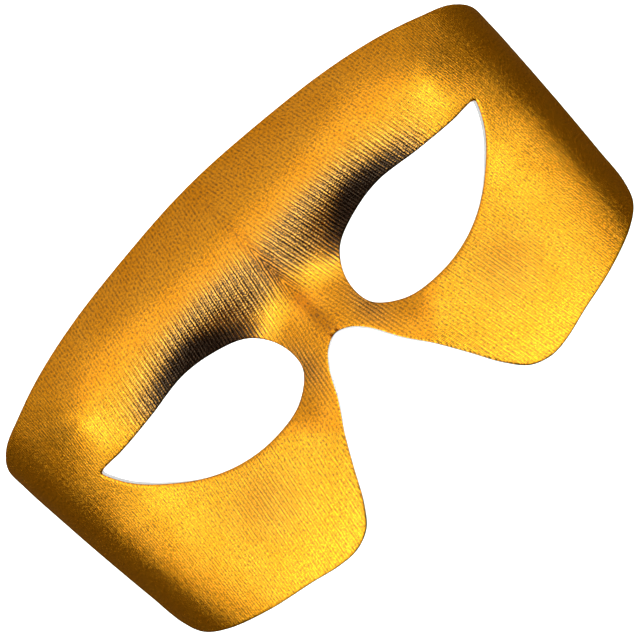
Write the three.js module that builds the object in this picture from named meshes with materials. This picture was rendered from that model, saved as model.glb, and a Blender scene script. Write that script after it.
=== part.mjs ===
// A masquerade half mask: one stiff moulded shell, faced with gold ribbed cloth, that lies on
// its two side edges with its face up. Millimetres, +Z up, +Y towards the forehead, X = 0 is
// the plane of symmetry and z = 0 is the surface the mask lies on.
import * as THREE from "three";
import { ParametricGeometry } from "three/addons/geometries/ParametricGeometry.js";
import { mergeGeometries, mergeVertices } from "three/addons/utils/BufferGeometryUtils.js";

// Driving dimensions of the shell
const THICKNESS = 1.4; // moulded backing and cloth together
const HALF_WIDTH = 87; // at eye level, from the centre line to the side edge
const SIDE_LEAN = 0.075; // the side edges part by this much per mm of height
const SIDE_BOW = 0.0006; // and bow outwards
const TOP = 50.4; // top edge on the centre line
const BRIDGE_EDGE = -4.6; // lower edge on the centre line, over the nose

// Driving dimensions of the form
const DEPTH = 58; // from the side edges to the middle of the brow
const SIDE_STEEPNESS = 0.985; // 1 would bring the temples down plumb
const SQUARENESS = 3.1; // exponent of the rounded section across the forehead
const CHEEK_FRONT = { share: 0.8, power: 2.75 }; // share of the depth that the cheeks' front gives up
const SHOULDER = { at: 0.952, radius: 0.027 }; // where the cheeks turn into the side walls
const ROUNDED_FROM = { low: -5.3, high: 17.7 }; // the shoulder softens into the rounded forehead here
const FOREHEAD = { from: 24, drop: 14.7 }; // above this height the forehead leans back
const JOWL = { from: -8.3, drop: 5 }; // and below this one the cheeks fall away
const LOWEST = -49.3;
const NOSE = { rise: 7.4, high: 20.7, low: -10.5, width: 18.6, spread: 0.91 };
const BROW = { rise: 3.2, x: 63, y: 27, across: 8.9, along: 12.2 }; // over the outer end of the eye
const UNDER_EYE = { rise: -2.7, x: 46.7, y: -9.8, across: 10.9, along: 16 }; // a slight hollow
const SOCKET_DEPTH = 16.8; // of the eye sockets below the brow
const SOCKET_BROW = { upperBend: 21.8, lowerBend: 8.2, radius: 2.4 }; // the steep drop under the brow
const SOCKET_CHEEK = { low: -27.6, high: 10.9, outer: 12 }; // the gentle rise to the cheek
const SOCKET_BRIDGE = { share: 0.39, flank: 27.4 }; // share of the depth left on the bridge itself
const SOCKET_TEMPLE = { from: 24.4, to: 62.2 }; // where the socket fades out towards the temple

// How finely the shell is faceted
const ACROSS = 10; // rows between the eye hole and the outline
const OUTER_CLUSTER = 1.25; // above 1, the rows lie closer together near the outline

const sideAt = (y) => HALF_WIDTH + SIDE_LEAN * y - SIDE_BOW * y * y;
const plan = (points, closed) =>
  new THREE.CatmullRomCurve3(points.map(([x, y]) => new THREE.Vector3(x, y, 0)), closed, "centripetal");

// The right half's outline, from the top of the centre line round to its lower end
const outlinePoints = [
  [0, TOP],
  [24, 49],
  [45, 46.6],
  [62, 43.2],
  [75.3, 39],
  [84.2, 35.4],
  [88.2, 31.2],
  [sideAt(25), 25],
  [sideAt(10), 10],
  [sideAt(-5), -5],
  [sideAt(-20), -20],
  [sideAt(-31), -31],
  [81.8, -36.5],
  [76.2, -40.4],
  [64, -44.5],
  [51, -47.1],
  [42.5, -49],
  [36.5, -49.3],
  [30.8, -47.2],
  [26.3, -41.9],
  [21.3, -32.9],
  [16.7, -24.9],
  [11.8, -17.5],
  [7.7, -10],
  [4.2, -6.2],
  [0, BRIDGE_EDGE],
];
const leftOutlinePoints = outlinePoints.slice(1, -1).reverse().map(([x, y]) => [-x, y]);
const outline = plan([...outlinePoints, ...leftOutlinePoints], true);
const TOP_CORNER = 6; // places in outlinePoints where the stretches of the outline meet
const LOWER_CORNER = 12;
const CHEEK_TIP = 18;
const OUTLINE_END = outlinePoints.length - 1;
const OUTLINE_PLACES = 2 * OUTLINE_END; // both halves

// The right eye hole, from its narrow outer corner along the cheek and back under the brow
const eyePoints = [
  [70.05, 12.4],
  [69.7, 11],
  [66.3, 5],
  [60, -1.4],
  [50, -8.4],
  [40, -12],
  [30, -12.9],
  [20, -11.1],
  [13.1, -5.8],
  [11.9, -1],
  [13.2, 5],
  [17.4, 10.4],
  [25, 13.7],
  [36, 15.5],
  [50, 13.9],
  [62, 12.9],
  [69, 12.95],
];
const eye = plan(eyePoints, true);
const EYE_LOWER = 4; // places in eyePoints that face the stretches of the outline
const EYE_CHEEK = 6;
const EYE_INNER = 8;
const EYE_BROW = 11;
const EYE_END = eyePoints.length; // round to the outer corner again

// Stretches of the outline, each with the stretch of the eye hole that faces it
const centreLine = { getPoint: (t) => new THREE.Vector3(0, BRIDGE_EDGE + (TOP - BRIDGE_EDGE) * t, 0) };
const stretches = [
  { steps: 14, eyeRun: [EYE_INNER, EYE_BROW], outer: (t) => centreLine.getPoint(t) },
  { steps: 24, eyeRun: [EYE_BROW, EYE_END], outer: between(0, TOP_CORNER) },
  { steps: 20, eyeRun: [0, EYE_LOWER], outer: between(TOP_CORNER, LOWER_CORNER) },
  { steps: 17, eyeRun: [EYE_LOWER, EYE_CHEEK], outer: between(LOWER_CORNER, CHEEK_TIP) },
  { steps: 17, eyeRun: [EYE_CHEEK, EYE_INNER], outer: between(CHEEK_TIP, OUTLINE_END) },
];
const CENTRE_STEPS = stretches[0].steps;

function between(first, last) {
  return (t) => outline.getPoint((first + (last - first) * t) / OUTLINE_PLACES);
}

// Stations round the half mask: a point on the eye hole and the point of the outline it faces
const stations = [];
for (const { steps, eyeRun, outer } of stretches) {
  for (let k = 0; k < steps; k++) {
    const t = k / steps;
    const place = eyeRun[0] + (eyeRun[1] - eyeRun[0]) * t;
    stations.push({ inner: eye.getPoint(place / EYE_END), outer: outer(t) });
  }
}
stations.push(stations[0]);
const AROUND = stations.length - 1;

// Goes smoothly from 0 to 1 as v goes from a to b
function ease(a, b, v) {
  const t = Math.min(1, Math.max(0, (v - a) / (b - a)));
  return t * t * (3 - 2 * t);
}

const bell = (v) => Math.exp(-v * v);

// Sections across, 1 on the centre line and 0 at the side edge: a rounded one for the forehead
// and one with a shoulder, where the cheek's gentle front turns into a steep side wall
function roundedSection(s) {
  const fall = (v) => Math.sqrt(1 - Math.min(1, Math.pow(SIDE_STEEPNESS * v, SQUARENESS)));
  return (fall(s) - fall(1)) / (1 - fall(1));
}

function shoulderedSection(s) {
  const bend = (v) => Math.log(1 + Math.exp((v - SHOULDER.at) / SHOULDER.radius));
  const front = CHEEK_FRONT.share;
  return 1 - front * Math.pow(s, CHEEK_FRONT.power) - ((1 - front) * bend(s)) / bend(1);
}

// Depth of the eye socket: it drops steeply under the brow and rises gently to the cheek
function socket(x, y) {
  const { upperBend, lowerBend, radius } = SOCKET_BROW;
  const bend = (v) => radius * Math.log(1 + Math.exp(v / radius));
  const underBrow = (bend(upperBend - y) - bend(lowerBend - y)) / (upperBend - lowerBend);
  const outer = SOCKET_CHEEK.outer * ease(14, 30, x);
  const overCheek = ease(SOCKET_CHEEK.low + outer, SOCKET_CHEEK.high + outer, y);
  const { share, flank } = SOCKET_BRIDGE;
  const besideBridge = share + (1 - share) * ease(0.5, flank, x);
  const beforeTemple = 1 - ease(SOCKET_TEMPLE.from, SOCKET_TEMPLE.to, x);
  return SOCKET_DEPTH * underBrow * overCheek * besideBridge * beforeTemple;
}

// A soft rise, or a hollow where its rise is negative
function swell({ rise, x, y, across, along }, atX, atY) {
  return rise * bell((atX - x) / across) * bell((atY - y) / along);
}

// Height of the mask's face over the surface it lies on
function height(side, y) {
  const x = Math.abs(side);
  const s = x / sideAt(y);
  const rounded = ease(ROUNDED_FROM.low, ROUNDED_FROM.high, y);
  const across = rounded * roundedSection(s) + (1 - rounded) * shoulderedSection(s);
  const above = Math.max(0, (y - FOREHEAD.from) / (TOP - FOREHEAD.from));
  const below = Math.max(0, (y - JOWL.from) / (LOWEST - JOWL.from));
  const depth = DEPTH - FOREHEAD.drop * above * above - JOWL.drop * below * below;
  const noseWidth = NOSE.width + NOSE.spread * Math.max(0, BRIDGE_EDGE - y);
  const nose = NOSE.rise * ease(NOSE.high, NOSE.low, y) * bell(x / noseWidth);
  const inside = 1 - ease(0.8, 1, s);
  return depth * across + inside * (nose + swell(BROW, x, y) + swell(UNDER_EYE, x, y) - socket(x, y));
}

// Direction that the face looks in
function facing(x, y) {
  const h = 0.05;
  const slopeX = (height(x + h, y) - height(x - h, y)) / (2 * h);
  const slopeY = (height(x, y + h) - height(x, y - h)) / (2 * h);
  return new THREE.Vector3(-slopeX, -slopeY, 1).normalize();
}

// A point of the shell: around runs round the eye, out from the eye hole (0) to the outline (1)
function shellPoint(around, out, isBack, target) {
  const { inner, outer } = stations[Math.round(around * AROUND)];
  const blend = 1 - Math.pow(1 - out, OUTER_CLUSTER);
  target.lerpVectors(inner, outer, blend);
  target.z = height(target.x, target.y);
  if (isBack) target.addScaledVector(facing(target.x, target.y), -THICKNESS);
  target.z = Math.max(0, target.z); // the side edges end flat on the surface they lie on
}

// The four patches that close one half: face, back, rim of the eye hole and outer rim
function halfPatches(mirrored) {
  const rimStart = CENTRE_STEPS / AROUND;
  const rimSteps = AROUND - CENTRE_STEPS;
  const onRim = (u) => rimStart + (1 - rimStart) * u;
  const patches = [
    { steps: AROUND, rows: ACROSS, turned: false, at: (u, v, p) => shellPoint(u, v, false, p) },
    { steps: AROUND, rows: ACROSS, turned: true, at: (u, v, p) => shellPoint(u, v, true, p) },
    { steps: AROUND, rows: 1, turned: false, at: (u, v, p) => shellPoint(u, 0, v < 0.5, p) },
    { steps: rimSteps, rows: 1, turned: false, at: (u, v, p) => shellPoint(onRim(u), 1, v > 0.5, p) },
  ];
  return patches.map(({ steps, rows, turned, at }) => {
    const reversed = turned !== mirrored;
    const place = (u, v, target) => {
      at(reversed ? 1 - u : u, v, target);
      if (mirrored) target.x = -target.x;
    };
    return new ParametricGeometry(place, steps, rows);
  });
}

function shellGeometry() {
  const patches = [...halfPatches(false), ...halfPatches(true)];
  for (const patch of patches) {
    patch.deleteAttribute("normal");
    patch.deleteAttribute("uv");
  }
  const shell = mergeVertices(mergeGeometries(patches), 1e-3);
  shell.computeVertexNormals();
  return shell;
}

const goldCloth = new THREE.MeshStandardMaterial({ color: 0xd08a1c, roughness: 0.42, metalness: 0.85 });

const maskShell = new THREE.Mesh(shellGeometry(), goldCloth);
maskShell.name = "mask_shell";

const mask = new THREE.Group();
mask.name = "masquerade_mask";
mask.add(maskShell);

export default mask;
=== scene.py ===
# A masquerade half mask in gold ribbed cloth, lying face up on a pale floor and seen from
# straight above, turned an eighth of a turn in the picture. The form's named values are in
# millimetres, as the mask is measured; every Blender object is in metres.
import math

import bmesh
import bpy
import numpy as np
from mathutils import Matrix, Vector
from mathutils.kdtree import KDTree


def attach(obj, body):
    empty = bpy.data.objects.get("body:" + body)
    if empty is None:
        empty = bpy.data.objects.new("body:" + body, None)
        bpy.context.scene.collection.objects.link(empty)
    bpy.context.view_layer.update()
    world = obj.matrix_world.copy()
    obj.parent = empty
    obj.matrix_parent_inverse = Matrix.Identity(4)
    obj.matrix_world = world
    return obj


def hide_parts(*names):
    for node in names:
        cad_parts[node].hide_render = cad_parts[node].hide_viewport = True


MM = 0.001

# Plan of the shell
THICKNESS = 1.4
HALF_WIDTH = 87.0
SIDE_LEAN = 0.075
SIDE_BOW = 0.0006
TOP = 50.4
BRIDGE_EDGE = -4.6

# Form of the face
DEPTH = 58
SIDE_STEEPNESS = 0.985
SQUARENESS = 3.1
CHEEK_FRONT = {"share": 0.8, "power": 2.75}
SHOULDER = {"at": 0.952, "radius": 0.027}
ROUNDED_FROM = {"low": -5.3, "high": 17.7}
FOREHEAD = {"from": 24, "drop": 14.7}
JOWL = {"from": -8.3, "drop": 5}
LOWEST = -49.3
NOSE = {"rise": 7.4, "high": 20.7, "low": -10.5, "width": 18.6, "spread": 0.91}
BROW = {"rise": 3.2, "x": 63, "y": 27, "across": 8.9, "along": 12.2}
UNDER_EYE = {"rise": -2.7, "x": 46.7, "y": -9.8, "across": 10.9, "along": 16}
SOCKET_DEPTH = 16.8
SOCKET_BROW = {"upper_bend": 21.8, "lower_bend": 8.2, "radius": 2.4}
SOCKET_CHEEK = {"low": -27.6, "high": 10.9, "outer_lift": 12, "from": 14, "to": 30}
SOCKET_BRIDGE = {"share": 0.39, "from": 0.5, "to": 27.4}
SOCKET_TEMPLE = {"from": 24.4, "to": 62.2}
FLAT_SIDE_FROM = 0.8

# The two layers, and how finely they are meshed; rows lie closer together at the edges
CLOTH_THICKNESS = 0.45
EDGE_ROUNDING = 0.3
ROUNDING_WIDTH = 0.4
EDGE_ROWS = (0.0, 0.12, 0.4)
STEPS_PER_STRETCH = (44, 76, 64, 56, 56)
ROWS = 60
FINE_STEPS = 6000

# Ribs of the cloth, with stitches across them and finer threads between them
RIB_PITCH = 0.99
RIB_LEAN = 0.2
STITCH_PITCH = 0.7
STITCH_SHARE = 0.4
THREAD_PITCH = 0.41
THREAD_RELIEF = 0.038
RELIEF = 0.08

# Uneven weave: noises over the cloth, their scale per mm, and how far they sway or lift it
SWAY = {"scale": 0.35, "ribs": 0.5, "stitches": 1.5}
GRAIN = {"scale": 2.2, "lift": 0.75}
MOTTLE = {"scale": 0.12, "detail": 4.0, "low": 0.3, "high": 0.7}
SPECKLE = {"scale": 1.45, "roughness": 0.6, "low": 0.39, "high": 0.61}

# Share of the ribs' height where the cloth is taut, and the places where it lies looser
TAUT_SHARE = 0.3
# Where it lies looser the crests are painted paler, a painted highlight, and the gaps and breaks darker,
# partly the weave's open gaps and partly painted shade
LOOSE_BROW = {"rise": 1.5, "x": 18, "y": 20.5, "across": 29, "along": 8}
LOOSE_TEMPLE = {"rise": 0.75, "x": 47, "y": 15.5, "across": 7.5, "along": 4.5}
LOOSE_CHEEK = {"rise": 0.4, "x": 44, "y": -24, "across": 14, "along": 13}
LOOSE_STRAP = {"rise": 0.8, "x": 12, "y": -5, "across": 5, "along": 9}

# Painted shade in the dark hollow under the brow, which dips towards the nose, at its outer end, and
# along the brown crease
HOLLOW_SHADE_PLACE = {"rise": 2.5, "x": 29, "y": 15.8, "across": 13.5, "along": 5.5}
HOLLOW_SHADE_DIP = 0.3
HOLLOW_SHADE_END = {"rise": 0.5, "x": 44, "y": 14.5, "across": 8, "along": 4}
PAINTED_CREASE_SHADE = {"rise": 0.9, "x": 0, "y": 11, "across": 2.4, "along": 21}

# How dark the cloth's specks, its gaps, the breaks across its ribs and the painted shade in its hollow
# are
GAP_SHARPNESS = 1.4
SPECKS = {"anywhere": 0.22, "in_gap": 0.5}
GAPS = {"taut": 0.1, "loose": 0.35, "at_stitch": 0.5, "at_speck": 0.6}
BREAKS = {"plain": 0.35, "at_speck": 0.6}
HOLLOW_SHADE_STRENGTH = {"crest": 0.55, "gap": 0.95, "plain": 0.85, "at_speck": 0.3}
DARKEST = 0.97

# Colours of the cloth and of the shell behind it
GOLD = ((0.93, 0.315, 0.01, 1), (0.99, 0.36, 0.018, 1))
# Paler gold on the crests where the cloth lies loose: a painted highlight
LOOSE_HIGHLIGHT_GOLD = (0.86, 0.35, 0.06, 1)
# Brown painted shade along the crease down the bridge
CREASE_SHADE_GOLD = (0.58, 0.165, 0.005, 1)
# The gaps' colour, which is also the colour of the painted shade in the hollow under the brow
GAP_AND_SHADE_COLOUR = (0.045, 0.028, 0.022, 1)
GLANCING_TINT = (1.0, 0.62, 0.2, 1)
CLOTH_ROUGHNESS = 0.24
BACKING_GREYS = ((0.43, 0.38, 0.38, 1), (0.49, 0.44, 0.44, 1))
BACKING_ROUGHNESS = (0.65, 0.85)
BACKING_RELIEF = 0.08

# Camera, in metres and degrees
CAMERA_DISTANCE = 2.5
FOCUS_HEIGHT = 0.040
PICTURE_WIDTH = 0.1692
PICTURE_TURN = 45.0
AIM = (-0.0003, 0.0005)
SENSOR_WIDTH = 36

# The pale sweep, in metres; it lies a little under the mask, so that they share no plane
SWEEP = {"flat": 4.2, "cove": 1.6, "wall": 3.0, "under": 0.0003}
SWEEP_TURNS = 96
COVE_STEPS = 12
SWEEP_COLOUR = (0.86, 0.86, 0.85, 1)
SWEEP_GLOW = 0.6

# Light panels, in metres
PANEL_DISTANCE = 3.3
PANEL_SIZE = 2.3
SIDE_COLOUR = (0.8, 1.0, 1.0)
MIDDLE_COLOUR = (1.0, 1.0, 0.9)

# Soft panels: angle down from overhead, angle around from +X, radiance
SIDE_PANELS = (
    (44, -30, 1.16),
    (44, 0, 1.74),
    (44, 60, 0.18),
    (66, -30, 3.26),
    (66, 0, 1.47),
    (66, 30, 0.87),
    (66, 60, 0.32),
)
MIDDLE_PANELS = (
    (22, 90, 1.6),
)

# Light that the dark room gives back from its side walls, its forehead end and its floor
ROOM = {"side": 0.16, "forehead_end": 0.61, "low": 0.13}


def side_at(y):
    return HALF_WIDTH + SIDE_LEAN * y - SIDE_BOW * y * y


OUTLINE = [
    (0, TOP),
    (24, 49),
    (45, 46.6),
    (62, 43.2),
    (75.3, 39),
    (84.2, 35.4),
    (88.2, 31.2),
    (side_at(25), 25),
    (side_at(10), 10),
    (side_at(-5), -5),
    (side_at(-20), -20),
    (side_at(-31), -31),
    (81.8, -36.5),
    (76.2, -40.4),
    (64, -44.5),
    (51, -47.1),
    (42.5, -49),
    (36.5, -49.3),
    (30.8, -47.2),
    (26.3, -41.9),
    (21.3, -32.9),
    (16.7, -24.9),
    (11.8, -17.5),
    (7.7, -10),
    (4.2, -6.2),
    (0, BRIDGE_EDGE),
]
TOP_CORNER, LOWER_CORNER, CHEEK_TIP = 6, 12, 18
OUTLINE_END = len(OUTLINE) - 1

EYE = [
    (70.05, 12.4),
    (69.7, 11),
    (66.3, 5),
    (60, -1.4),
    (50, -8.4),
    (40, -12),
    (30, -12.9),
    (20, -11.1),
    (13.1, -5.8),
    (11.9, -1),
    (13.2, 5),
    (17.4, 10.4),
    (25, 13.7),
    (36, 15.5),
    (50, 13.9),
    (62, 12.9),
    (69, 12.95),
]
EYE_LOWER, EYE_CHEEK, EYE_INNER, EYE_BROW = 4, 6, 8, 11
EYE_END = len(EYE)


def spline(before, points, after):
    """A centripetal Catmull-Rom curve through the points, by the place in their list."""
    knots = np.array([before, *points, after], float)
    gaps = np.sqrt(np.linalg.norm(np.diff(knots, axis=0), axis=1))

    def at(place):
        first = np.clip(np.floor(place).astype(int), 0, len(points) - 2)
        t = (place - first)[:, None]
        p0, p1, p2, p3 = (knots[first + k] for k in range(4))
        d0, d1, d2 = (gaps[first + k][:, None] for k in range(3))
        start = d1 * ((p1 - p0) / d0 - (p2 - p0) / (d0 + d1) + (p2 - p1) / d1)
        end = d1 * ((p2 - p1) / d1 - (p3 - p1) / (d1 + d2) + (p3 - p2) / d2)
        cubic = 2 * p1 - 2 * p2 + start + end
        square = 3 * p2 - 3 * p1 - 2 * start - end
        return p1 + t * (start + t * (square + t * cubic))

    return at


def mirrored(point):
    return -point[0], point[1]


outline_at = spline(mirrored(OUTLINE[1]), OUTLINE, mirrored(OUTLINE[-2]))
eye_at = spline(EYE[-1], [*EYE, EYE[0]], EYE[1])


def centre_line_at(t):
    return np.stack([np.zeros_like(t), BRIDGE_EDGE + (TOP - BRIDGE_EDGE) * t], axis=1)


def stations():
    """Points round the right half's eye hole, and the points of its outline that they face."""
    stretches = [
        (EYE_INNER, EYE_BROW, None, None),
        (EYE_BROW, EYE_END, 0, TOP_CORNER),
        (0, EYE_LOWER, TOP_CORNER, LOWER_CORNER),
        (EYE_LOWER, EYE_CHEEK, LOWER_CORNER, CHEEK_TIP),
        (EYE_CHEEK, EYE_INNER, CHEEK_TIP, OUTLINE_END),
    ]
    inner, outer = [], []
    for steps, (eye_from, eye_to, out_from, out_to) in zip(STEPS_PER_STRETCH, stretches):
        t = np.arange(steps) / steps
        inner.append(eye_at(eye_from + (eye_to - eye_from) * t))
        if out_from is None:
            outer.append(centre_line_at(t))
        else:
            outer.append(outline_at(out_from + (out_to - out_from) * t))
    return np.vstack(inner), np.vstack(outer)


def ease(a, b, v):
    t = np.clip((v - a) / (b - a), 0, 1)
    return t * t * (3 - 2 * t)


def bell(v):
    return np.exp(-v * v)


def rounded_section(s):
    def fall(v):
        return np.sqrt(1 - np.minimum(1, (SIDE_STEEPNESS * v) ** SQUARENESS))

    return (fall(s) - fall(1)) / (1 - fall(1))


def shouldered_section(s):
    def bend(v):
        return np.log(1 + np.exp((v - SHOULDER["at"]) / SHOULDER["radius"]))

    front = CHEEK_FRONT["share"]
    return 1 - front * s ** CHEEK_FRONT["power"] - (1 - front) * bend(s) / bend(1)


def section_height(x, y):
    """Height of the mask without its sockets, nose and cheeks."""
    s = x / side_at(y)
    rounded = ease(ROUNDED_FROM["low"], ROUNDED_FROM["high"], y)
    across = rounded * rounded_section(s) + (1 - rounded) * shouldered_section(s)
    above = np.maximum(0, (y - FOREHEAD["from"]) / (TOP - FOREHEAD["from"]))
    below = np.maximum(0, (y - JOWL["from"]) / (LOWEST - JOWL["from"]))
    return (DEPTH - FOREHEAD["drop"] * above**2 - JOWL["drop"] * below**2) * across


def socket(x, y):
    """Depth of the eye socket: it drops steeply under the brow and rises gently to the cheek."""
    def bend(v):
        return np.logaddexp(0, v / SOCKET_BROW["radius"]) * SOCKET_BROW["radius"]

    upper, lower = SOCKET_BROW["upper_bend"], SOCKET_BROW["lower_bend"]
    under_brow = (bend(upper - y) - bend(lower - y)) / (upper - lower)
    lift = SOCKET_CHEEK["outer_lift"] * ease(SOCKET_CHEEK["from"], SOCKET_CHEEK["to"], x)
    over_cheek = ease(SOCKET_CHEEK["low"] + lift, SOCKET_CHEEK["high"] + lift, y)
    share = SOCKET_BRIDGE["share"]
    beside_bridge = share + (1 - share) * ease(SOCKET_BRIDGE["from"], SOCKET_BRIDGE["to"], x)
    before_temple = 1 - ease(SOCKET_TEMPLE["from"], SOCKET_TEMPLE["to"], x)
    return SOCKET_DEPTH * under_brow * over_cheek * beside_bridge * before_temple


def swell(form, x, y):
    """A soft rise round the form's middle."""
    return form["rise"] * bell((x - form["x"]) / form["across"]) * bell((y - form["y"]) / form["along"])


def height(side, y):
    """Height of the face over the surface that the mask lies on."""
    x = np.abs(side)
    nose_width = NOSE["width"] + NOSE["spread"] * np.maximum(0, BRIDGE_EDGE - y)
    nose = NOSE["rise"] * ease(NOSE["high"], NOSE["low"], y) * bell(x / nose_width)
    bumps = swell(BROW, x, y) + swell(UNDER_EYE, x, y)
    inside = 1 - ease(FLAT_SIDE_FROM, 1, x / side_at(y))
    return section_height(x, y) + inside * (nose + bumps - socket(x, y))


def facing(x, y):
    h = 0.05
    slope_x = (height(x + h, y) - height(x - h, y)) / (2 * h)
    slope_y = (height(x, y + h) - height(x, y - h)) / (2 * h)
    normal = np.stack([-slope_x, -slope_y, np.ones_like(x)], axis=-1)
    return normal / np.linalg.norm(normal, axis=-1, keepdims=True)


def cloth_place(x, y):
    """Place on the cloth in mm: across the ribs, over the curve of the mask, and along them."""
    steps = 64
    t = (np.arange(steps) + 0.5) / steps
    h = 0.1
    sideways = x[..., None] * t
    up = y[..., None]
    slope = (section_height(sideways + h, up) - section_height(np.abs(sideways - h), up)) / (2 * h)
    arc = x * np.sqrt(1 + slope**2).mean(axis=-1)
    return arc - RIB_LEAN * (TOP - y), y


def cloth_areas(x, y):
    """How loose the cloth is at each point, and how much shade is painted in the hollow under the brow
    and along the crease.
    """
    places = (LOOSE_BROW, LOOSE_TEMPLE, LOOSE_CHEEK, LOOSE_STRAP)
    dip = HOLLOW_SHADE_DIP * np.maximum(0, HOLLOW_SHADE_PLACE["x"] - x)
    return {
        "loose": np.minimum(1, sum(swell(place, x, y) for place in places)),
        # painted shade in the hollow under the brow, stored as dark
        "dark": swell(HOLLOW_SHADE_PLACE, x, y + dip) + swell(HOLLOW_SHADE_END, x, y),
        # painted shade along the crease down the bridge
        "crease_shade": swell(PAINTED_CREASE_SHADE, x, y),
    }


def distance_to_edges(plan):
    """Distance of each point of a plan from the outline or the eye hole, whichever is nearer."""
    outline = outline_at(np.linspace(0, OUTLINE_END, FINE_STEPS))
    eye = eye_at(np.linspace(0, EYE_END, FINE_STEPS))
    tree = KDTree(2 * FINE_STEPS)
    for number, (x, y) in enumerate(np.vstack([outline, eye])):
        tree.insert((x, y, 0), number)
    tree.balance()
    return np.array([[tree.find((x, y, 0))[2] for x, y in row] for row in plan])


def row_shares(length):
    """Shares of the way from the eye hole to the outline at which the rows lie, for each station."""
    edge = np.array(EDGE_ROWS)
    first = EDGE_ROWS[-1]
    body = first + (length - 2 * first) * np.linspace(0, 1, ROWS + 1)[1:-1]
    return np.hstack([edge + 0 * length, body, length - edge[::-1]]) / length


def layer_points(plan, upper, lower, rounding):
    """Points at two depths under the face, the upper ones rounded off towards the edges."""
    x, y = plan[..., 0], plan[..., 1]
    face = np.dstack([x, y, height(x, y)])
    normal = facing(x, y)
    near_edge = np.clip(1 - distance_to_edges(plan) / ROUNDING_WIDTH, 0, 1)
    layers = []
    for depth in (upper + rounding * near_edge**2, lower + 0 * near_edge):
        points = face - normal * depth[..., None]
        points[..., 2] = np.maximum(0, points[..., 2])
        layers.append(points.reshape(-1, 3))
    return np.vstack(layers)


def layer_faces(around, count):
    """Faces of the right half of a layer: its front, its back, the rim at the eye and the outer rim."""
    front = np.arange(around * count).reshape(around, count)
    back = front + around * count
    front_ahead = np.roll(front, -1, axis=0)
    back_ahead = np.roll(back, -1, axis=0)
    no_rim = STEPS_PER_STRETCH[0]  # these stations face the centre line, which is no edge

    def strip(*corners):
        return np.stack(corners, -1).reshape(-1, 4)

    return np.vstack(
        [
            strip(front[:, :-1], front_ahead[:, :-1], front_ahead[:, 1:], front[:, 1:]),
            strip(back[:, 1:], back_ahead[:, 1:], back_ahead[:, :-1], back[:, :-1]),
            strip(back[:, 0], back_ahead[:, 0], front_ahead[:, 0], front[:, 0]),
            strip(front[:, -1], front_ahead[:, -1], back_ahead[:, -1], back[:, -1])[no_rim:],
        ]
    )


def weld(mesh):
    """Joins the two halves of a layer along the centre line."""
    joined = bmesh.new()
    joined.from_mesh(mesh)
    bmesh.ops.remove_doubles(joined, verts=joined.verts, dist=1e-8)
    joined.to_mesh(mesh)
    joined.free()


def layer_piece(name, upper, lower, rounding):
    """A closed layer of the shell between two depths under its face, both halves, with its cloth map."""
    inner, outer = stations()
    length = np.linalg.norm(outer - inner, axis=1)[:, None]
    rows = row_shares(length)
    plan = inner[:, None, :] + (outer - inner)[:, None, :] * rows[..., None]
    right = layer_points(plan, upper, lower, rounding)
    right_faces = layer_faces(*rows.shape)
    points = np.vstack([right, right * (-1, 1, 1)])
    faces = np.vstack([right_faces, right_faces[:, ::-1] + len(right)])
    mesh = bpy.data.meshes.new(name)
    mesh.from_pydata((points * MM).tolist(), [], faces.tolist())

    x, y = plan[..., 0], plan[..., 1]
    copies = 4  # the front and the back of two halves
    place = np.tile(np.dstack(cloth_place(x, y)).reshape(-1, 2), (copies, 1))
    corner = np.zeros(len(mesh.loops), int)
    mesh.loops.foreach_get("vertex_index", corner)
    cloth_map = mesh.uv_layers.new(name="cloth")
    cloth_map.data.foreach_set("uv", place[corner].astype(np.float32).ravel())
    for area, share in cloth_areas(x, y).items():
        values = np.tile(share.ravel(), copies).astype(np.float32)
        mesh.attributes.new(area, "FLOAT", "POINT").data.foreach_set("value", values)
    weld(mesh)
    mesh.shade_smooth()
    piece = bpy.data.objects.new(name, mesh)
    bpy.context.scene.collection.objects.link(piece)
    return piece


class Nodes:
    """Adds nodes to a material and links them; a value or another node's output sets an input."""

    def __init__(self, tree):
        self.tree = tree

    def add(self, kind, inputs=None, output=0, **settings):
        node = self.tree.nodes.new("ShaderNode" + kind)
        for name, value in settings.items():
            setattr(node, name, value)
        for name, value in (inputs or {}).items():
            if isinstance(value, bpy.types.NodeSocket):
                self.tree.links.new(value, node.inputs[name])
            else:
                node.inputs[name].default_value = value
        return node.outputs[output]

    def math(self, operation, a, b=0.0, c=0.0):
        return self.add("Math", {0: a, 1: b, 2: c}, operation=operation)

    def mix_colour(self, share, a, b):
        return self.add("Mix", {0: share, 6: a, 7: b}, output=2, data_type="RGBA")

    def ramp(self, value, low, high, to_low=0.0, to_high=1.0):
        return self.add("MapRange", {0: value, 1: low, 2: high, 3: to_low, 4: to_high})

    def noise(self, vector, scale, detail=2.0, roughness=0.5):
        inputs = {"Vector": vector, "Scale": scale, "Detail": detail, "Roughness": roughness}
        return self.add("TexNoise", inputs)

    def split(self, vector):
        """The vector's three numbers."""
        return self.add("SeparateXYZ", {0: vector}).node.outputs

    def stored(self, name):
        """A number that the mesh keeps at its points."""
        return self.add("Attribute", output="Fac", attribute_name=name)

    def join(self, value, socket):
        self.tree.links.new(value, socket)


def new_material(name):
    material = bpy.data.materials.new(name)
    material.use_nodes = True
    nodes = Nodes(material.node_tree)
    shader = material.node_tree.nodes["Principled BSDF"]
    return material, nodes, shader


def wave(nodes, phase):
    """0 to 1 and back as the phase goes up by one."""
    turn = nodes.math("MULTIPLY", phase, 2 * math.pi)
    return nodes.math("MULTIPLY_ADD", nodes.math("COSINE", turn), 0.5, 0.5)


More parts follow.
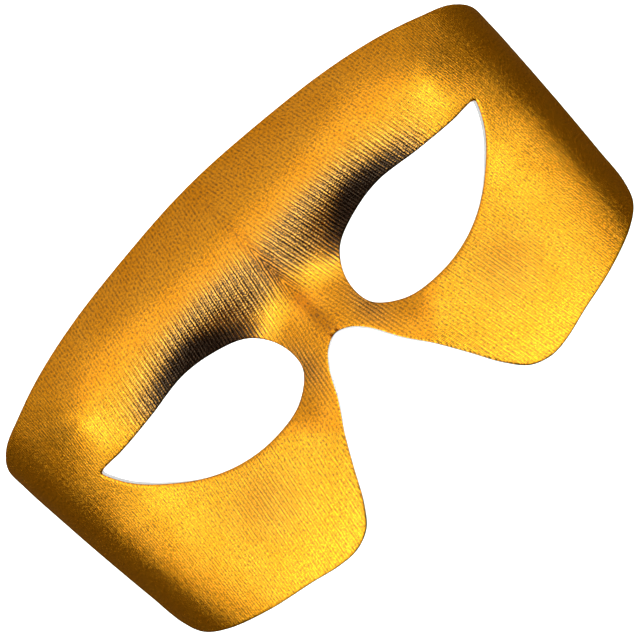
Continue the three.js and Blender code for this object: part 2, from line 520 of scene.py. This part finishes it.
def weave(nodes, place):
    """Height, from 0 to 1, of the ribs, of the stitches across them and of the fine threads."""
    across, along, _ = nodes.split(place)
    sway = nodes.math("SUBTRACT", nodes.noise(place, SWAY["scale"]), 0.5)
    swayed_across = nodes.math("MULTIPLY_ADD", sway, SWAY["ribs"], across)
    swayed_along = nodes.math("MULTIPLY_ADD", sway, SWAY["stitches"], along)
    rib_phase = nodes.math("DIVIDE", swayed_across, RIB_PITCH)
    half_step = nodes.math("MULTIPLY", nodes.math("ROUND", rib_phase), 0.5)
    stitch_phase = nodes.math("ADD", nodes.math("DIVIDE", swayed_along, STITCH_PITCH), half_step)
    thread_phase = nodes.math("DIVIDE", swayed_across, THREAD_PITCH)
    return wave(nodes, rib_phase), wave(nodes, stitch_phase), wave(nodes, thread_phase)


def cloth_relief(nodes, place, rib, stitch, thread, loose):
    """Height of the cloth, as a share of RELIEF: ribs and grain stand out more where it lies loose."""
    lift = nodes.math("MULTIPLY_ADD", loose, GRAIN["lift"], GRAIN["lift"])
    grain = nodes.math("MULTIPLY", nodes.noise(place, GRAIN["scale"]), lift)
    stitched = nodes.math("MULTIPLY_ADD", stitch, STITCH_SHARE, rib)
    ribbed = nodes.math("MULTIPLY_ADD", stitched, nodes.math("ADD", loose, TAUT_SHARE), grain)
    return nodes.math("MULTIPLY_ADD", thread, THREAD_RELIEF / RELIEF, ribbed)


def crest_colour(nodes, place, loose):
    """Mottled gold, painted paler as a highlight where the cloth lies loose, and browner along the
    crease as painted shade.
    """
    mottle = nodes.noise(place, MOTTLE["scale"], MOTTLE["detail"])
    gold = nodes.mix_colour(nodes.ramp(mottle, MOTTLE["low"], MOTTLE["high"]), *GOLD)
    # painted highlight: paler crests where the cloth lies loose
    gold = nodes.mix_colour(nodes.math("POWER", loose, 2.0), gold, LOOSE_HIGHLIGHT_GOLD)
    # brown painted shade along the crease
    return nodes.mix_colour(nodes.stored("crease_shade"), gold, CREASE_SHADE_GOLD)


def gaps_and_painted_shade(nodes, place, rib, stitch, loose):
    """Darkness between the ribs and across them, most where the cloth lies loose, partly painted shade
    there, and the painted shade in the hollow under the brow.
    """
    def share(amount, factor, base):
        return nodes.math("MULTIPLY_ADD", amount, factor, base)

    gap = nodes.math("POWER", nodes.math("SUBTRACT", 1.0, rib), GAP_SHARPNESS)
    speckle = nodes.noise(place, SPECKLE["scale"], roughness=SPECKLE["roughness"])
    speckle = nodes.ramp(speckle, SPECKLE["low"], SPECKLE["high"])
    specks = nodes.math("MULTIPLY", speckle, share(gap, SPECKS["in_gap"], SPECKS["anywhere"]))
    # darker gaps and breaks where the cloth lies loose: partly the weave's open gaps, partly painted
    # shade
    broken = share(speckle, GAPS["at_speck"], share(stitch, GAPS["at_stitch"], GAPS["loose"]))
    gaps = nodes.math("MULTIPLY", gap, share(loose, broken, GAPS["taut"]))
    torn = share(speckle, BREAKS["at_speck"], BREAKS["plain"])
    torn = nodes.math("MULTIPLY", nodes.math("POWER", loose, 3.0), torn)
    breaks = nodes.math("MULTIPLY", nodes.math("SUBTRACT", 1.0, stitch), torn)
    # painted shade in the hollow under the brow, over crests and gaps alike
    hollow = nodes.math("MULTIPLY", nodes.stored("dark"), share(gap, HOLLOW_SHADE_STRENGTH["gap"], HOLLOW_SHADE_STRENGTH["crest"]))
    hollow = nodes.math("MULTIPLY", hollow, share(speckle, HOLLOW_SHADE_STRENGTH["at_speck"], HOLLOW_SHADE_STRENGTH["plain"]))
    darkness = nodes.math("MAXIMUM", nodes.math("MAXIMUM", specks, gaps), breaks)
    darkness = nodes.math("MAXIMUM", darkness, hollow)
    return nodes.math("MINIMUM", darkness, DARKEST)


def gold_cloth():
    """Gold lame: fine metallic ribs crossed by finer stitches, with broken dark gaps between them,
    painted shade under the brow and along the crease, and a painted highlight on loose crests.
    """
    material, nodes, shader = new_material("gold ribbed cloth")
    place = nodes.add("UVMap", uv_map="cloth")
    rib, stitch, thread = weave(nodes, place)
    loose = nodes.stored("loose")
    relief = cloth_relief(nodes, place, rib, stitch, thread, loose)
    bump = nodes.add("Bump", {"Height": relief, "Distance": RELIEF * MM, "Strength": 1.0})
    nodes.join(bump, shader.inputs["Normal"])
    # gaps, breaks and specks, with the painted shade of the hollow, mixed towards the gap colour
    darkness = gaps_and_painted_shade(nodes, place, rib, stitch, loose)
    colour = nodes.mix_colour(darkness, crest_colour(nodes, place, loose), GAP_AND_SHADE_COLOUR)
    nodes.join(colour, shader.inputs["Base Color"])
    shader.inputs["Roughness"].default_value = CLOTH_ROUGHNESS
    shader.inputs["Metallic"].default_value = 1.0
    shader.inputs["Specular Tint"].default_value = GLANCING_TINT
    return material


def grey_backing():
    """The moulded shell under the cloth: matt warm grey, faintly grained."""
    material, nodes, shader = new_material("grey backing")
    place = nodes.add("TexCoord", output="Object")
    grain = nodes.noise(place, 900.0, 3.0)
    cloud = nodes.ramp(nodes.noise(place, 60.0), 0.3, 0.7)
    bump = nodes.add("Bump", {"Height": grain, "Distance": BACKING_RELIEF * MM, "Strength": 0.6})
    nodes.join(nodes.mix_colour(cloud, *BACKING_GREYS), shader.inputs["Base Color"])
    nodes.join(nodes.ramp(grain, 0.3, 0.7, *BACKING_ROUGHNESS), shader.inputs["Roughness"])
    nodes.join(bump, shader.inputs["Normal"])
    return material


def sweep_profile():
    """Radius and height of the sweep's rings, out over the floor and up the cove to the wall's top."""
    flat, cove = SWEEP["flat"], SWEEP["cove"]
    profile = [(radius, 0.0) for radius in (0.25, 0.5, 1.0, 2.0, 3.0, flat)]
    for k in range(1, COVE_STEPS + 1):
        turn = math.pi / 2 * k / COVE_STEPS
        profile.append((flat + cove * math.sin(turn), cove * (1 - math.cos(turn))))
    profile.append((flat + cove, cove + SWEEP["wall"]))
    return profile


def pale_stage():
    """A round pale sweep: a flat floor whose rim curves up to a wall. Gloss doesn't mirror it."""
    turns = [2 * math.pi * k / SWEEP_TURNS for k in range(SWEEP_TURNS)]
    bm = bmesh.new()
    rings = [
        [bm.verts.new((radius * math.cos(turn), radius * math.sin(turn), z)) for turn in turns]
        for radius, z in sweep_profile()
    ]
    middle = bm.verts.new((0, 0, 0))
    for k in range(SWEEP_TURNS):
        n = (k + 1) % SWEEP_TURNS
        bm.faces.new((middle, rings[0][k], rings[0][n]))
        for low, high in zip(rings, rings[1:]):
            bm.faces.new((low[k], high[k], high[n], low[n]))
    mesh = bpy.data.meshes.new("pale_sweep")
    bm.to_mesh(mesh)
    bm.free()
    mesh.shade_smooth()
    sweep = bpy.data.objects.new("pale_sweep", mesh)
    sweep.location.z = -SWEEP["under"]
    sweep.visible_glossy = False
    sweep.visible_shadow = False
    bpy.context.scene.collection.objects.link(sweep)
    material, _, shader = new_material("pale sweep")
    shader.inputs["Base Color"].default_value = SWEEP_COLOUR
    shader.inputs["Roughness"].default_value = 0.9
    shader.inputs["Specular IOR Level"].default_value = 0.1
    shader.inputs["Emission Color"].default_value = (1, 1, 1, 1)
    shader.inputs["Emission Strength"].default_value = SWEEP_GLOW
    mesh.materials.append(material)
    return sweep


def panel(name, polar, around, strength, colour):
    """A soft light panel that faces the mask, from an angle down from overhead and around from +X."""
    data = bpy.data.lights.new(name, "AREA")
    data.shape = "SQUARE"
    data.size = PANEL_SIZE
    data.energy = strength * math.pi * PANEL_SIZE**2
    data.color = colour
    light = bpy.data.objects.new(name, data)
    out = math.sin(math.radians(polar))
    turn = math.radians(around)
    aim = Vector((out * math.cos(turn), out * math.sin(turn), math.cos(math.radians(polar))))
    light.location = aim * PANEL_DISTANCE + Vector((0, 0, FOCUS_HEIGHT))
    light.rotation_mode = "QUATERNION"
    light.rotation_quaternion = aim.to_track_quat("Z", "Y")
    light.visible_camera = False
    bpy.context.scene.collection.objects.link(light)


def lights():
    """Soft panels in a dark room; its side walls, floor and far end give a little back."""
    for number, (polar, around, strength) in enumerate(SIDE_PANELS):
        panel(f"right_panel_{number}", polar, around, strength, SIDE_COLOUR)
        panel(f"left_panel_{number}", polar, 180 - around, strength, SIDE_COLOUR)
    for number, (polar, around, strength) in enumerate(MIDDLE_PANELS):
        panel(f"middle_panel_{number}", polar, around, strength, MIDDLE_COLOUR)
    world = bpy.data.worlds.new("dim room")
    world.use_nodes = True
    nodes = Nodes(world.node_tree)
    x, y, z = nodes.split(nodes.add("TexCoord", output="Generated"))
    walls = nodes.math("POWER", nodes.math("ABSOLUTE", x), 4.0)
    far_end = nodes.math("MAXIMUM", y, 0.0)
    floor = nodes.math("MINIMUM", z, 0.0)
    light = nodes.math("MULTIPLY", walls, ROOM["side"])
    light = nodes.math("ADD", light, nodes.math("MULTIPLY", far_end, ROOM["forehead_end"]))
    light = nodes.math("ADD", light, nodes.math("MULTIPLY", floor, -ROOM["low"]))
    background = world.node_tree.nodes["Background"]
    background.inputs["Color"].default_value = (1, 1, 1, 1)
    nodes.join(light, background.inputs["Strength"])
    bpy.context.scene.world = world


def camera():
    """Looks straight down, turned so that the mask's own upright runs from corner to corner."""
    data = bpy.data.cameras.new("camera")
    data.sensor_width = SENSOR_WIDTH
    data.lens = data.sensor_width * CAMERA_DISTANCE / PICTURE_WIDTH
    data.clip_start = 0.1
    data.clip_end = 20
    cam = bpy.data.objects.new("camera", data)
    turn = Matrix.Rotation(math.radians(-PICTURE_TURN), 4, "Z")
    cam.matrix_world = Matrix.Translation((*AIM, FOCUS_HEIGHT + CAMERA_DISTANCE)) @ turn
    bpy.context.scene.collection.objects.link(cam)
    bpy.context.scene.camera = cam


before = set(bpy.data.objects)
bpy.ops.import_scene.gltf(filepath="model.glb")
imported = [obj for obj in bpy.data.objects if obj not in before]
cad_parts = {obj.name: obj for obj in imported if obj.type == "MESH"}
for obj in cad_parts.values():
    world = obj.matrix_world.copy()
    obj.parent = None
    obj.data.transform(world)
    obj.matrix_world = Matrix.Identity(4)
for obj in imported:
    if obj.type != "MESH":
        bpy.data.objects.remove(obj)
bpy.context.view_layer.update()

camera()
lights()
pale_stage()

cloth = layer_piece("gold_cloth_face", 0.0, CLOTH_THICKNESS, EDGE_ROUNDING)
cloth.data.materials.append(gold_cloth())
backing = layer_piece("grey_backing", CLOTH_THICKNESS, THICKNESS, 0.0)
backing.data.materials.append(grey_backing())
for piece, slot in ((cloth, "gold_cloth"), (backing, "lining")):
    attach(piece, "root")
    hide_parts("mask_shell")

bpy.context.scene.view_settings.view_transform = "Standard"
